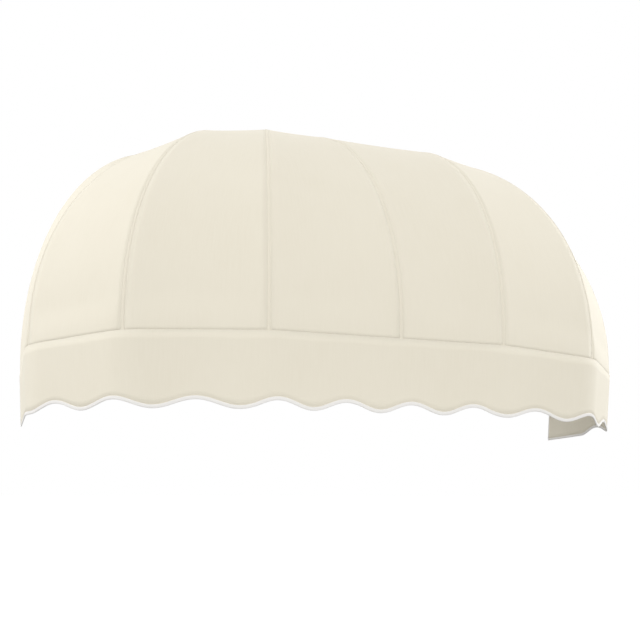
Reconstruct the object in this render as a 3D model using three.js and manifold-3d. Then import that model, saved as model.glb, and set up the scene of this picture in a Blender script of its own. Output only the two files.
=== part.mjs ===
// Elongated dome window awning: a sewn canvas cover of eight gores and a scalloped valance,
// stretched on a frame of bent square tube that is strapped flat against a wall.
// Millimetres, +Z up. The wall plane is Y = 0 and the awning stands out towards -Y.
// The origin is on the back face of the head rail, midway along it.

import * as THREE from "three";
import { mergeVertices } from "three/addons/utils/BufferGeometryUtils.js";
import Module from "manifold-3d";

const wasm = await Module();
wasm.setup();

// ---------- driving dimensions ----------

const WIDTH = 2438.4; // wall end to wall end, at the front bar
const DEPTH = 914.4; // wall to the middle of the front bar
const DOME_HEIGHT = 914.4; // front bar line to the ridge
const STRAIGHT_HALF = 346; // half of the straight middle of the front bar
const HUB_HALF = 236; // half of the way between the two hubs, where the ribs meet
const COVER_BEND = 690; // how far from the middle the cover's wall edge starts to bend down
const HOOP_BEND = 660; // and the wall hoop under it
const MIDDLE_SEAM = { foot: 28, head: -228 }; // it slants, from the bar up to the ridge
const RIB_ANGLES = [38, 64, 90]; // where the end ribs stand on each end's quarter ellipse, in degrees
const BEND_RADIUS = 250; // of the front bar at each rib foot

const CLOTH = 1.2; // canvas, with its seam allowances
const SEAM_GAP = 0.25; // half of the gap between two gores
const FLARE = 110; // height over which a flat gore spreads to the bar's bends
const APEX_RADIUS = 4; // where the gores stop short of their meeting point
const WALL_BAND = 26; // the cover lies flat over the wall tubes, this deep at the ridge and less lower down
const BAND_FOLD = 0.008; // share of an end gore's width that its fold over the wall tube takes

const TUBE = 25.4; // head rail, wall hoops and front bar
const RIB_TUBE = 19.05;
const TUBE_WALL = 1.6;
const INSET = 18.4; // cover face to the tubes' centre lines
const HOOP_INSET = 26; // the same for the wall hoops, whose gore slants inwards
const GAP = 0.3; // between pieces that meet

const HUB = { radius: 64, gap: 1.6 }; // gap: to the tubes, whose ends slope
const PLUG = {
  length: 26,
  play: 3, // between a square peg and the bent tube round it
  buried: 6, // how far a peg starts inside its hub
  root: 1, // and inside a plate
};
const PLATE = 3;
const FOOT_PLUG_SIDE = 22;
const CLEAT = { width: 40, gap: 1.2 }; // gap: to the middle rib, whose end slopes
const SPLICE_AT = 250; // front bar joints, each side of the middle
const SPLICE_LENGTH = 120;
const SPLICE_WALL = 2;
const FOOT_PLATE = { width: 64, height: 62, thickness: 4, overhang: 9, holesDown: [33, 49] };
const WALL_HOLE_RADIUS = 3.5;
const STRAP = { width: 30, thickness: 2.5, ear: 26, at: 100 }; // at: from the middle of the head rail
const HOOP_TAB = { angle: 35, gap: 1.4 }; // degrees up the hoop, and a gap for its straight facets
const SCREW = { shank: 2.1, hole: 2.5, length: 8, tip: 1, head: 4.6, edge: 1.3, crown: 2.8, rise: 2.6 };

const VALANCE = { drop: 205, rise: 4, wallGap: 3, standOff: 0.9 };
const SCALLOP = {
  height: 25,
  shift: -30, // the pattern's middle, from the awning's middle
  front: 192, // pitch along the straight front
  left: 236, // pitch round each end
  right: 252,
  leftCount: 5,
  rightCount: 6,
};
const BINDING = { thickness: 0.9, width: 9, play: 0.5, below: 1 }; // below: bar line to its top ends

// how finely curves are faceted
const RIB_STEPS = 16;
const HOOP_STEPS = 24;
const BOW_STEPS = 40;
const PLUG_STEPS = 2;
const GORE_ROWS = 18;
const GORE_COLUMNS = 4;
const ROW_CROWDING = 1.15; // rows stand closer together near the bar line
const VALANCE_STEPS = 132;
const HUB_SIDES = 32;
const HOLE_SIDES = 16;
const SCREW_SIDES = 12;
const DRILL_LENGTH = 20;

// ---------- derived ----------

const END_REACH = WIDTH / 2 - STRAIGHT_HALF;
const HOOP_REACH = WIDTH / 2 - HOOP_BEND - HOOP_INSET;
const BAR_Z = -(DOME_HEIGHT - INSET); // the front bar line, below the head rail's centre line

const frameMetal = new THREE.MeshStandardMaterial({ color: 0xc9cbca, roughness: 0.42, metalness: 0.9 });
const hardwareMetal = new THREE.MeshStandardMaterial({ color: 0xb4b8bb, roughness: 0.35, metalness: 1.0 });
const canvas = new THREE.MeshStandardMaterial({ color: 0xeae3d2, roughness: 0.9, metalness: 0.0 });
const bindingTape = new THREE.MeshStandardMaterial({ color: 0xf6f5f2, roughness: 0.85, metalness: 0.0 });

const awning = new THREE.Group();

function addPiece(name, geometry, material, parent = awning) {
  const mesh = new THREE.Mesh(geometry, material);
  mesh.name = name;
  parent.add(mesh);
  return mesh;
}

// ---------- solids ----------

function toSolid(geometry) {
  const bare = geometry.clone();
  bare.deleteAttribute("normal");
  bare.deleteAttribute("uv");
  const merged = mergeVertices(bare, 1e-4);
  return new wasm.Manifold(
    new wasm.Mesh({
      numProp: 3,
      vertProperties: new Float32Array(merged.attributes.position.array),
      triVerts: new Uint32Array(merged.index.array),
    }),
  );
}

function toGeometry(solid) {
  const mesh = solid.getMesh();
  const geometry = new THREE.BufferGeometry();
  geometry.setAttribute("position", new THREE.Float32BufferAttribute(mesh.vertProperties, 3));
  geometry.setIndex(new THREE.Uint32BufferAttribute(mesh.triVerts, 1));
  geometry.computeVertexNormals();
  return geometry;
}

function cut(geometry, ...tools) {
  return toGeometry(tools.reduce((solid, tool) => solid.subtract(toSolid(tool)), toSolid(geometry)));
}

function join(...geometries) {
  return toGeometry(geometries.map(toSolid).reduce((sum, solid) => sum.add(solid)));
}

function box(low, high) {
  const size = high.clone().sub(low);
  const middle = low.clone().add(high).multiplyScalar(0.5);
  return new THREE.BoxGeometry(size.x, size.y, size.z).translate(middle.x, middle.y, middle.z);
}

/** A round cutter of the given radius, along "y" or "z", centred on a point. */
function drill(axis, radius, centre) {
  const cylinder = new THREE.CylinderGeometry(radius, radius, DRILL_LENGTH, HOLE_SIDES);
  if (axis === "z") cylinder.rotateX(Math.PI / 2);
  return cylinder.translate(centre.x, centre.y, centre.z);
}

/** A closed skin between two equal grids of points, front[i][j] and back[i][j]. */
function skin(front, back) {
  const rows = front.length;
  const columns = front[0].length;
  const positions = [...front.flat(), ...back.flat()].flatMap((p) => [p.x, p.y, p.z]);
  const at = (side, i, j) => (side * rows + i) * columns + j;
  const faces = [];
  const quad = (a, b, c, d) => faces.push(a, b, c, a, c, d);
  for (let i = 0; i + 1 < rows; i++) {
    for (let j = 0; j + 1 < columns; j++) {
      quad(at(0, i, j), at(0, i, j + 1), at(0, i + 1, j + 1), at(0, i + 1, j));
      quad(at(1, i, j), at(1, i + 1, j), at(1, i + 1, j + 1), at(1, i, j + 1));
    }
    quad(at(0, i, 0), at(0, i + 1, 0), at(1, i + 1, 0), at(1, i, 0));
    const last = columns - 1;
    quad(at(0, i + 1, last), at(0, i, last), at(1, i, last), at(1, i + 1, last));
  }
  for (let j = 0; j + 1 < columns; j++) {
    quad(at(0, 0, j + 1), at(0, 0, j), at(1, 0, j), at(1, 0, j + 1));
    quad(at(0, rows - 1, j), at(0, rows - 1, j + 1), at(1, rows - 1, j + 1), at(1, rows - 1, j));
  }
  return closedFrom(positions, faces);
}

/** A closed body lofted through equal rings of points, with flat ends of quads folded across each ring. */
function loft(rings) {
  const count = rings[0].length;
  const positions = rings.flat().flatMap((p) => [p.x, p.y, p.z]);
  const faces = [];
  for (let i = 0; i + 1 < rings.length; i++) {
    for (let j = 0; j < count; j++) {
      const k = (j + 1) % count;
      const [a, b, c, d] = [i * count + j, i * count + k, (i + 1) * count + k, (i + 1) * count + j];
      faces.push(a, b, c, a, c, d);
    }
  }
  const last = (rings.length - 1) * count;
  for (let j = 0; j < count / 2 - 1; j++) {
    const [a, b, c, d] = [j, j + 1, count - 2 - j, count - 1 - j];
    faces.push(a, c, b, a, d, c);
    faces.push(last + a, last + b, last + c, last + a, last + c, last + d);
  }
  return closedFrom(positions, faces);
}

function closedFrom(positions, faces) {
  const geometry = new THREE.BufferGeometry();
  geometry.setAttribute("position", new THREE.Float32BufferAttribute(positions, 3));
  geometry.setIndex(faces);
  if (signedVolume(positions, faces) < 0) geometry.setIndex(faces.reverse());
  geometry.computeVertexNormals();
  return geometry;
}

function signedVolume(positions, faces) {
  const corner = (n) => new THREE.Vector3().fromArray(positions, 3 * n);
  let sum = 0;
  for (let f = 0; f < faces.length; f += 3) {
    sum += corner(faces[f]).dot(corner(faces[f + 1]).cross(corner(faces[f + 2])));
  }
  return sum;
}

// ---------- plan line of the front bar and valance ----------

/** Straight runs joined by arcs whose middles pass through the feet, from the left wall end to the right. */
class PlanLine {
  constructor(feet, radius) {
    const side = (a, b) => b.clone().sub(a).normalize();
    const outward = (direction) => new THREE.Vector2(direction.y, -direction.x);
    const last = feet.length - 1;
    const turnAt = (line, n) => {
      if (n % last === 0) return 0;
      return side(line[n - 1], line[n]).angleTo(side(line[n], line[n + 1]));
    };
    const line = feet.map((foot, n) => {
      if (n % last === 0) return foot;
      const [before, after] = [side(feet[n - 1], foot), side(foot, feet[n + 1])];
      const out = outward(before).add(outward(after)).normalize();
      return foot.clone().addScaledVector(out, radius * (1 / Math.cos(turnAt(feet, n) / 2) - 1));
    });
    const corners = line.map((at, n) => ({ at, turn: turnAt(line, n) }));
    this.pieces = [];
    this.footAt = [0];
    this.length = 0;
    for (let n = 0; n + 1 < corners.length; n++) {
      const [from, to] = [corners[n], corners[n + 1]];
      const direction = side(from.at, to.at);
      const start = radius * Math.tan(from.turn / 2);
      const run = from.at.distanceTo(to.at) - start - radius * Math.tan(to.turn / 2);
      const begin = from.at.clone().addScaledVector(direction, start);
      this.pieces.push({ from: this.length, begin, direction, normal: outward(direction) });
      this.length += run;
      if (n + 2 < corners.length) {
        const normal = outward(direction);
        const end = begin.clone().addScaledVector(direction, run);
        const sweep = to.turn;
        const centre = end.clone().addScaledVector(normal, -radius);
        this.pieces.push({ from: this.length, centre, normal, radius });
        this.footAt.push(this.length + (sweep * radius) / 2);
        this.length += sweep * radius;
      }
    }
    this.footAt.push(this.length);
  }

  /** The point and outward normal at a distance along the line, moved outwards by offset. */
  at(distance, offset = 0) {
    const piece = this.pieces.findLast((p) => distance >= p.from) ?? this.pieces[0];
    const along = distance - piece.from;
    const normal = piece.normal.clone();
    const point = new THREE.Vector2();
    if (piece.centre) {
      normal.rotateAround(new THREE.Vector2(), along / piece.radius);
      point.copy(piece.centre).addScaledVector(normal, piece.radius + offset);
    } else {
      point.copy(piece.begin).addScaledVector(piece.direction, along).addScaledVector(normal, offset);
    }
    return { point, normal };
  }
}

const endFeet = [0, ...RIB_ANGLES].map(THREE.MathUtils.degToRad).map(
  (angle) => new THREE.Vector2(STRAIGHT_HALF + END_REACH * Math.cos(angle), -DEPTH * Math.sin(angle)),
);
const leftFeet = endFeet.map((foot) => new THREE.Vector2(-foot.x, foot.y));
const plan = new PlanLine([...leftFeet, ...endFeet.toReversed()], BEND_RADIUS);
const planMiddle = plan.length / 2;

/** Part of the plan line at one height and offset, as a path for a tube. */
class BarPath extends THREE.Curve {
  constructor(from, to, offset, z) {
    super();
    Object.assign(this, { from, to, offset, z });
  }

  getPoint(t) {
    const { point } = plan.at(this.from + (this.to - this.from) * t, this.offset);
    return new THREE.Vector3(point.x, point.y, this.z);
  }
}

/** Part of a rib's quarter ellipse in its own upright plane, between two distances from the hub. */
class RibPath extends THREE.Curve {
  constructor(reach, rise, inner, outer) {
    super();
    Object.assign(this, { reach, rise });
    this.from = Math.acos(Math.min(outer / reach, 1));
    this.to = Math.acos(inner / reach);
  }

  getPoint(t) {
    const angle = this.from + (this.to - this.from) * t;
    return new THREE.Vector3(this.reach * Math.cos(angle), 0, this.rise * Math.sin(angle));
  }
}

// ---------- tubes and plugs ----------

function squareShape(side, bore = 0) {
  const square = (size, path) =>
    path.moveTo(-size, -size).lineTo(size, -size).lineTo(size, size).lineTo(-size, size).closePath();
  const shape = square(side / 2, new THREE.Shape());
  if (bore > 0) shape.holes.push(square(bore / 2, new THREE.Path()));
  return shape;
}

function bentTube(path, side, steps) {
  const shape = squareShape(side, side - 2 * TUBE_WALL);
  return new THREE.ExtrudeGeometry(shape, { extrudePath: path, steps, bevelEnabled: false });
}

function straightTube(side, wall, low, high) {
  const tube = new THREE.ExtrudeGeometry(squareShape(side, side - 2 * wall), {
    depth: high - low,
    bevelEnabled: false,
  });
  return tube.rotateY(Math.PI / 2).translate(low, 0, 0);
}

function bentPlug(path, bore) {
  const shape = squareShape(bore - PLUG.play);
  return new THREE.ExtrudeGeometry(shape, { extrudePath: path, steps: PLUG_STEPS, bevelEnabled: false });
}

const ribBore = RIB_TUBE - 2 * TUBE_WALL;
const tubeBore = TUBE - 2 * TUBE_WALL;

// ---------- ribs, hubs and wall hoops ----------

const ribRise = DOME_HEIGHT - INSET;
const ribStart = HUB.radius + HUB.gap;
const footPlugTop = GAP + PLATE;
const ribFootZ = footPlugTop + GAP;

/** Rib placings: a name, its hub, the direction it runs in plan and its reach from the hub. */
const ribs = [];
for (const [side, hand] of [["left", -1], ["right", 1]]) {
  endFeet.slice(1).forEach((foot, n) => {
    const out = new THREE.Vector2(foot.x - HUB_HALF, foot.y);
    const direction = hand > 0 ? out.angle() : Math.PI - out.angle();
    ribs.push({ name: `${side}_${n + 1}`, hub: hand * HUB_HALF, direction, reach: out.length() - INSET });
  });
}
const middleFoot = plan.at(planMiddle).point;
const middleRib = { name: "middle", hub: 0, direction: -Math.PI / 2, reach: -middleFoot.y - INSET };

function ribGroup({ hub, direction }) {
  const group = new THREE.Group();
  group.position.set(hub, 0, BAR_Z);
  group.rotation.z = direction;
  awning.add(group);
  return group;
}

/** A plate with a square peg on it, pegged into the lower end of a rib. */
function footPlug(reach) {
  const half = FOOT_PLUG_SIDE / 2;
  const plate = box(
    new THREE.Vector3(reach - half, -half, GAP),
    new THREE.Vector3(reach + half, half, footPlugTop),
  );
  const peg = (ribBore - PLUG.play) / 2;
  const post = box(
    new THREE.Vector3(reach - peg, -peg, footPlugTop - PLUG.root),
    new THREE.Vector3(reach + peg, peg, footPlugTop + PLUG.length),
  );
  return join(plate, post);
}

function addRib(rib, start) {
  const group = ribGroup(rib);
  const foot = rib.reach * Math.cos(Math.asin(ribFootZ / ribRise));
  const path = new RibPath(rib.reach, ribRise, start, foot);
  addPiece(`rib_${rib.name}`, bentTube(path, RIB_TUBE, RIB_STEPS), frameMetal, group);
  addPiece(`foot_plug_${rib.name}`, footPlug(rib.reach), hardwareMetal, group);
}

ribs.forEach((rib) => addRib(rib, ribStart));

const cleatFace = TUBE + GAP + PLATE; // how far the middle rib's cleat stands off the wall
addRib(middleRib, cleatFace + CLEAT.gap);

const cleatHalf = CLEAT.width / 2;
const cleat = join(
  box(
    new THREE.Vector3(TUBE + GAP, -cleatHalf, ribRise - TUBE / 2),
    new THREE.Vector3(cleatFace, cleatHalf, ribRise + TUBE / 2),
  ),
  bentPlug(new RibPath(middleRib.reach, ribRise, cleatFace - PLUG.root, cleatFace + PLUG.length), ribBore),
);
addPiece("middle_cleat", cleat, hardwareMetal, ribGroup(middleRib));

/** Up from the front bar on a quarter ellipse, then straight along the ridge to the hub. */
function hoopPath() {
  const path = new THREE.CurvePath();
  const foot = HOOP_REACH * Math.cos(Math.asin(GAP / ribRise));
  const bend = new RibPath(HOOP_REACH, ribRise, 0, foot);
  const hubEnd = new THREE.Vector3(HUB_HALF - HOOP_BEND + HUB.radius + GAP, 0, ribRise);
  path.add(bend);
  path.add(new THREE.LineCurve3(bend.getPoint(1), hubEnd));
  return path;
}

for (const [side, hand] of [["left", -1], ["right", 1]]) {
  const piece = addPiece(`wall_hoop_${side}`, bentTube(hoopPath(), TUBE, HOOP_STEPS), frameMetal);
  piece.position.set(hand * HOOP_BEND, -TUBE / 2, BAR_Z);
  if (hand < 0) piece.rotation.z = Math.PI;

  const disc = new THREE.CylinderGeometry(HUB.radius, HUB.radius, TUBE, HUB_SIDES).rotateX(Math.PI / 2);
  const behind = box(
    new THREE.Vector3(-2 * HUB.radius, 0, -TUBE),
    new THREE.Vector3(2 * HUB.radius, 2 * HUB.radius, TUBE),
  );
  const [pegStart, pegEnd] = [HUB.radius - PLUG.buried, HUB.radius + PLUG.length];
  const plugs = ribs.filter((rib) => rib.hub === hand * HUB_HALF).map((rib) => {
    const path = new RibPath(rib.reach, ribRise, pegStart, pegEnd);
    return bentPlug(path, ribBore).rotateZ(rib.direction).translate(0, 0, -ribRise);
  });
  const peg = tubeBore / 2 - GAP;
  const tubePeg = box(
    new THREE.Vector3(-pegEnd, -peg - TUBE / 2, -peg),
    new THREE.Vector3(pegEnd, peg - TUBE / 2, peg),
  );
  const hub = join(cut(disc, behind), ...plugs, tubePeg);
  addPiece(`hub_${side}`, hub, hardwareMetal).position.x = hand * HUB_HALF;
}

const railHalf = HUB_HALF - HUB.radius - GAP;
const headRail = straightTube(TUBE, TUBE_WALL, -railHalf, railHalf).translate(0, -TUBE / 2, 0);
addPiece("head_rail", headRail, frameMetal);

// ---------- front bar, its splices and foot plates ----------

const barZ = BAR_Z - TUBE / 2;
const barOffset = -INSET;
const barY = plan.at(planMiddle, barOffset).point.y;
const spliceScrewAt = [SPLICE_AT - SPLICE_LENGTH / 4, SPLICE_AT + SPLICE_LENGTH / 4];
const screwHole = (x) =>
  drill("z", SCREW.hole, new THREE.Vector3(x, barY, barZ - TUBE / 2 - DRILL_LENGTH / 4));

const barHalf = SPLICE_AT - GAP / 2;
const frontBar = straightTube(TUBE, TUBE_WALL, -barHalf, barHalf).translate(0, barY, barZ);
addPiece("front_bar", cut(frontBar, screwHole(-spliceScrewAt[0]), screwHole(spliceScrewAt[0])), frameMetal);

const wallSide = box(
  new THREE.Vector3(-WIDTH, -FOOT_PLATE.thickness - GAP, barZ - TUBE),
  new THREE.Vector3(WIDTH, TUBE, barZ + TUBE),
);

for (const [side, hand] of [["left", -1], ["right", 1]]) {
  const inner = planMiddle + hand * (SPLICE_AT + GAP / 2);
  const outer = hand < 0 ? 0 : plan.length;
  const path = new BarPath(Math.min(inner, outer), Math.max(inner, outer), barOffset, barZ);
  const bow = cut(bentTube(path, TUBE, BOW_STEPS), wallSide, screwHole(hand * spliceScrewAt[1]));
  addPiece(`front_bow_${side}`, bow, frameMetal);

  const middle = hand * SPLICE_AT;
  const half = SPLICE_LENGTH / 2;
  const sleeve = straightTube(tubeBore - 2 * GAP, SPLICE_WALL, middle - half, middle + half);
  const holes = spliceScrewAt.map((x) => screwHole(hand * x));
  addPiece(`splice_${side}`, cut(sleeve.translate(0, barY, barZ), ...holes), hardwareMetal);

  spliceScrewAt.forEach((x, n) => {
    const { shank, head, edge, crown, rise, tip, length } = SCREW;
    const profile = [
      [0, length],
      [shank, length - tip],
      [shank, 0],
      [head, 0],
      [head, -edge],
      [crown, -rise],
      [0, -rise],
    ].map(([r, z]) => new THREE.Vector2(r, z));
    const screw = new THREE.LatheGeometry(profile.reverse(), SCREW_SIDES).rotateX(Math.PI / 2);
    const piece = addPiece(`splice_screw_${side}_${n + 1}`, screw, hardwareMetal);
    piece.position.set(hand * x, barY, barZ - TUBE / 2 - GAP);
  });

  const { width, height, thickness, holesDown } = FOOT_PLATE;
  const plateX = plan.at(outer, barOffset).point.x - hand * (width / 2 - FOOT_PLATE.overhang);
  const plate = box(
    new THREE.Vector3(plateX - width / 2, -thickness, BAR_Z - height),
    new THREE.Vector3(plateX + width / 2, 0, BAR_Z),
  );
  const plateHoles = holesDown.map((down) =>
    drill("y", WALL_HOLE_RADIUS, new THREE.Vector3(plateX, 0, BAR_Z - down)),
  );
  addPiece(`foot_plate_${side}`, cut(plate, ...plateHoles), hardwareMetal);
}

// ---------- wall straps ----------

/** A saddle over a wall tube with one ear below it, its tube lying along X through the origin. */
function wallStrap() {
  const { width, thickness, ear } = STRAP;
  const [inside, outside] = [TUBE / 2 + GAP, TUBE / 2 + GAP + thickness];
  const [insideFace, outsideFace] = [TUBE + GAP, TUBE + GAP + thickness];
  const outline = [
    [0, -outside - ear],
    [-thickness, -outside - ear],
    [-thickness, -outside],
    [-outsideFace, -outside],
    [-outsideFace, outside],
    [0, outside],
    [0, inside],
    [-insideFace, inside],
    [-insideFace, -inside],
    [0, -inside],
  ].map(([y, z]) => new THREE.Vector2(y, z));
  const saddle = new THREE.ExtrudeGeometry(new THREE.Shape(outline), { depth: width, bevelEnabled: false });
  saddle.translate(0, 0, -width / 2).rotateX(Math.PI / 2).rotateZ(Math.PI / 2);
  return cut(saddle, drill("y", WALL_HOLE_RADIUS, new THREE.Vector3(0, 0, -outside - ear / 2)));
}

/** A drilled tab that meets the inside of a bent wall tube, the tube lying along X through the origin. */
function wallTab() {
  const { width, thickness, ear } = STRAP;
  const edge = -TUBE / 2 - HOOP_TAB.gap;
  const tab = box(
    new THREE.Vector3(-width / 2, -thickness, edge - ear),
    new THREE.Vector3(width / 2, 0, edge),
  );
  return cut(tab, drill("y", WALL_HOLE_RADIUS, new THREE.Vector3(0, 0, edge - ear / 2)));
}

for (const [side, hand] of [["left", -1], ["right", 1]]) {
  addPiece(`rail_strap_${side}`, wallStrap(), hardwareMetal).position.x = hand * STRAP.at;

  const angle = THREE.MathUtils.degToRad(HOOP_TAB.angle);
  const tilt = Math.atan2(Math.cos(angle) / HOOP_REACH, Math.sin(angle) / ribRise);
  const tab = addPiece(`hoop_tab_${side}`, wallTab(), hardwareMetal);
  tab.rotation.y = hand * tilt;
  const x = hand * (HOOP_BEND + HOOP_REACH * Math.cos(angle));
  tab.position.set(x, 0, BAR_Z + ribRise * Math.sin(angle));
}

// ---------- gores ----------

const seamFootAt = planMiddle + MIDDLE_SEAM.foot;
const goreFeet = [...leftFeet, plan.at(seamFootAt).point, ...endFeet.toReversed()];
const goreFootAt = [...plan.footAt.slice(0, 4), seamFootAt, ...plan.footAt.slice(4)];
const endHubs = [COVER_BEND, HUB_HALF, HUB_HALF, HUB_HALF];
const goreHubs = [...endHubs.map((x) => -x), MIDDLE_SEAM.head, ...endHubs.toReversed()].map(
  (x) => new THREE.Vector2(x, 0),
);

/** Shares of a gore's width at which its columns stand, with one more for the fold at the wall. */
function goreColumns(n) {
  const even = Array.from({ length: GORE_COLUMNS + 1 }, (_, j) => j / GORE_COLUMNS);
  if (n === 0) return even.toSpliced(1, 0, BAND_FOLD);
  if (n === goreFeet.length - 2) return even.toSpliced(-1, 0, 1 - BAND_FOLD);
  return even;
}

/** One surface of a gore as rows from the bar line up, set inwards by depth. */
function goreSurface(n, depth) {
  const feet = [goreFeet[n], goreFeet[n + 1]];
  const hubs = [goreHubs[n], goreHubs[n + 1]];
  const chord = feet[1].clone().sub(feet[0]).normalize();
  const normal = new THREE.Vector2(chord.y, -chord.x);
  const arms = feet.map((foot, k) => foot.clone().sub(hubs[k]));
  const rise = DOME_HEIGHT - depth;
  const fold = Math.acos((2 * APEX_RADIUS) / DEPTH);
  const top = Math.acos(APEX_RADIUS / DEPTH);
  const wallSide = { 0: 0, [goreFeet.length - 2]: 1 }[n];
  const surface = [];
  for (let i = 0; i <= GORE_ROWS + 1; i++) {
    const angle = i > GORE_ROWS ? top : fold * (i / GORE_ROWS) ** ROW_CROWDING;
    const [out, z] = [Math.cos(angle), rise * Math.sin(angle)];
    const ends = arms.map((arm, k) => {
      const drawnIn = depth / arm.clone().normalize().dot(normal) / arm.length();
      const trim = k === 0 ? SEAM_GAP : -SEAM_GAP;
      return hubs[k].clone().addScaledVector(arm, (1 - drawnIn) * out).addScaledVector(chord, trim);
    });
    const spread = 1 - THREE.MathUtils.smoothstep(z, 0, FLARE);
    surface.push(
      goreColumns(n).map((across) => {
        const flat = ends[0].clone().lerp(ends[1], across);
        const hub = hubs[0].clone().lerp(hubs[1], across);
        const distance = THREE.MathUtils.lerp(
          goreFootAt[n] + SEAM_GAP,
          goreFootAt[n + 1] - SEAM_GAP,
          across,
        );
        const rounded = hub.clone().lerp(plan.at(distance, -depth).point, out);
        const point = flat.lerp(rounded, spread);
        const atWall = angle === top || across === wallSide;
        const y = atWall ? point.y : point.y - (WALL_BAND - depth) * (1 - out);
        return new THREE.Vector3(point.x, Math.min(y, -SEAM_GAP), z + BAR_Z);
      }),
    );
  }
  return surface;
}

for (let n = 0; n + 1 < goreFeet.length; n++) {
  addPiece(`gore_${n + 1}`, skin(goreSurface(n, 0), goreSurface(n, CLOTH)), canvas);
}

// ---------- valance and its binding ----------

/** Height of the valance's lower edge above its lowest level, at a distance from the awning's middle. */
function scallopLift(fromMiddle) {
  const s = fromMiddle - SCALLOP.shift;
  const pitch = s < 0 ? SCALLOP.left : SCALLOP.right;
  const inFront = Math.min(Math.abs(s), STRAIGHT_HALF);
  const turns = Math.sign(s) * (inFront / SCALLOP.front + (Math.abs(s) - inFront) / pitch);
  if (turns < -SCALLOP.leftCount || turns > SCALLOP.rightCount) return 0;
  return (SCALLOP.height * (1 - Math.cos(2 * Math.PI * turns))) / 2;
}

const bindingClear = BINDING.thickness + BINDING.play;
const bindingTop = BAR_Z - BINDING.below;
const valanceFoot = BAR_Z - VALANCE.drop + bindingClear;

function valancePoint(distance, offset, z) {
  const { point } = plan.at(distance, offset);
  return new THREE.Vector3(point.x, point.y, z);
}

/** Stations along the valance's lower edge, as [distance, height]. */
const valanceEdge = Array.from({ length: VALANCE_STEPS + 1 }, (_, i) => {
  const ends = [VALANCE.wallGap, plan.length - VALANCE.wallGap];
  const distance = THREE.MathUtils.lerp(ends[0], ends[1], i / VALANCE_STEPS);
  return new THREE.Vector2(distance, valanceFoot + scallopLift(distance - planMiddle));
});

const valanceSurface = (offset) =>
  [(edge) => edge.y, () => BAR_Z + VALANCE.rise].map((height) =>
    valanceEdge.map((edge) => valancePoint(edge.x, offset, height(edge))),
  );
const [valanceBack, valanceFace] = [VALANCE.standOff, VALANCE.standOff + CLOTH];
addPiece("valance", skin(valanceSurface(valanceFace), valanceSurface(valanceBack)), canvas);

/** The bound edge: down the left end, along the scallops, and up the right end. */
const boundEdge = [
  new THREE.Vector2(valanceEdge[0].x, bindingTop),
  ...valanceEdge,
  new THREE.Vector2(valanceEdge.at(-1).x, bindingTop),
];

/** The mitred direction into the cloth at one point of the bound edge. */
function intoCloth(n) {
  const perpendicular = (a, b) => new THREE.Vector2(-(b.y - a.y), b.x - a.x).normalize();
  const before = perpendicular(boundEdge[Math.max(n - 1, 0)], boundEdge[Math.max(n, 1)]);
  const last = boundEdge.length - 1;
  const after = perpendicular(boundEdge[Math.min(n, last - 1)], boundEdge[Math.min(n + 1, last)]);
  const mitre = before.clone().add(after).normalize();
  return mitre.divideScalar(mitre.dot(after));
}

const tape = { inner: valanceBack - bindingClear, outer: valanceFace + bindingClear };
const bindingRings = boundEdge.map((edge, n) => {
  const inward = intoCloth(n);
  const corner = (depth, offset) => {
    const moved = edge.clone().addScaledVector(inward, depth);
    return valancePoint(moved.x, offset, moved.y);
  };
  const [lip, fold] = [BINDING.width, -BINDING.play];
  return [
    corner(lip, tape.outer),
    corner(fold - BINDING.thickness, tape.outer),
    corner(fold - BINDING.thickness, tape.inner),
    corner(lip, tape.inner),
    corner(lip, tape.inner + BINDING.thickness),
    corner(fold, tape.inner + BINDING.thickness),
    corner(fold, tape.outer - BINDING.thickness),
    corner(lip, tape.outer - BINDING.thickness),
  ];
});
addPiece("valance_binding", loft(bindingRings), bindingTape);

export default awning;
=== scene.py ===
import bisect
import math

import bmesh
import bpy
from mathutils import Matrix, Vector


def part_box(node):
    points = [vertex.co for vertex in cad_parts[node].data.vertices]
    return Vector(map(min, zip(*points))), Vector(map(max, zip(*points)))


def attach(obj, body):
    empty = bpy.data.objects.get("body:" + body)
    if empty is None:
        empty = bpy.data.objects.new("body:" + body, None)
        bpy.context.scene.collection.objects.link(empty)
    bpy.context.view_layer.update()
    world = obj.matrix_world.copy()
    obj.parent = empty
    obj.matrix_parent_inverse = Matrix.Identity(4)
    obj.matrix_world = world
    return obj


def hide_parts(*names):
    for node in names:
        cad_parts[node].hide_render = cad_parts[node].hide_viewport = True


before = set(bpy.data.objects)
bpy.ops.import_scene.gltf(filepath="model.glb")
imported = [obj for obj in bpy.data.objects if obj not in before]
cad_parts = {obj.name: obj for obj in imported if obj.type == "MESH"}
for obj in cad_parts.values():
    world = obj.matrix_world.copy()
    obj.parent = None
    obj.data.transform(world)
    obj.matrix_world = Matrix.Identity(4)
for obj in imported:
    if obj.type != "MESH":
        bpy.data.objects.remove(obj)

# Elongated dome window awning: the finished look of its canvas cover, valance and tube frame.

bl_info = {
    "name": "Dome Window Awning",
    "version": (1, 0, 0),
    "blender": (4, 5, 0),
    "location": "View3D > Sidebar > Awning",
    "description": "Builds the canvas cover, valance and frame of an elongated dome window awning",
    "category": "Add Mesh",
}

MM = 0.001
WELD = 0.001 * MM

# ---------- the frame's own sizes ----------

BODY = "root"
GORES = [f"gore_{n}" for n in range(1, 9)]
SIDES = {"left": -1, "right": 1}

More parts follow.
